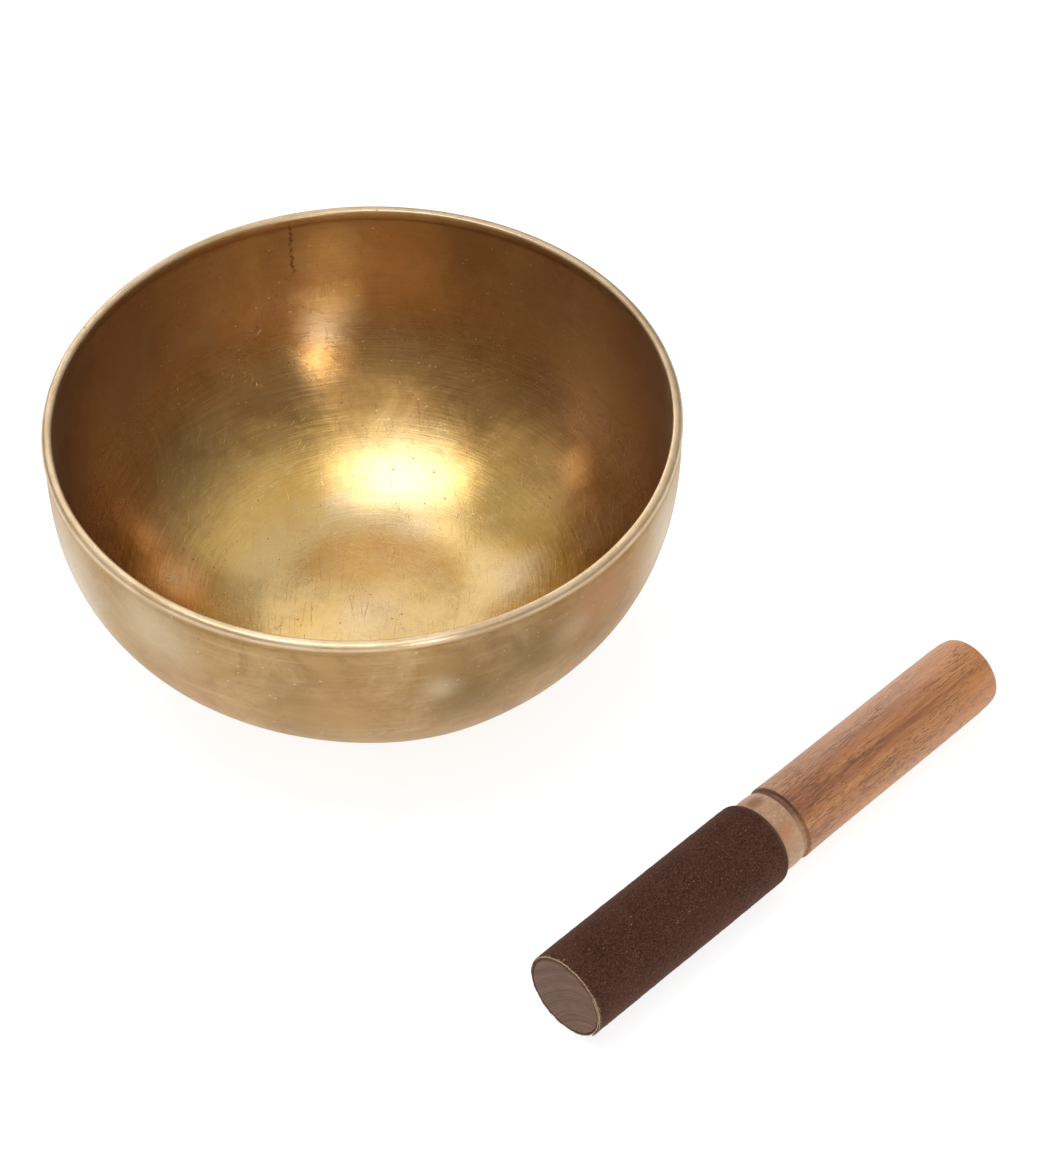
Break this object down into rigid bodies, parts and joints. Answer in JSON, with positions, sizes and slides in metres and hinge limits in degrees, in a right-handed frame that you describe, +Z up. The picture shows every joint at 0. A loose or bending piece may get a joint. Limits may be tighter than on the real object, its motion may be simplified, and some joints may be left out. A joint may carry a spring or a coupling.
{
  "type": "singing bowl",
  "caption": "Hand-beaten bronze singing bowl with a thickened lip and a flattened base, and a turned wooden striker whose head is wrapped in suede.",
  "frame": {"origin": "centre of the bowl's flattened base, on the surface that the bowl and the striker rest on", "axes": "+Z up through the bowl's mouth; -Y is the front, and the striker lies in front and to the right, its grip pointing towards +X and +Y"},
  "size_m": [0.2913, 0.2774, 0.0867],
  "materials": {
    "bronze": "hand-beaten bronze, satin, with brown and copper patina, lathe scratches inside and pitted, mottled outside",
    "hardwood": "reddish brown open-grained hardwood, turned and lightly waxed",
    "suede": "dark brown suede, napped side out, with pale raw edges"
  },
  "bodies": {
    "bowl": {"bowl": "bronze"},
    "striker": {"striker_stick": "hardwood", "suede_wrap": "suede"}
  },
  "joints": [
    {"name": "striker_lift", "type": "slide", "parent": "bowl", "child": "striker", "axis": [0, 0, 1], "range_m": [0, 0.2]}
  ]
}
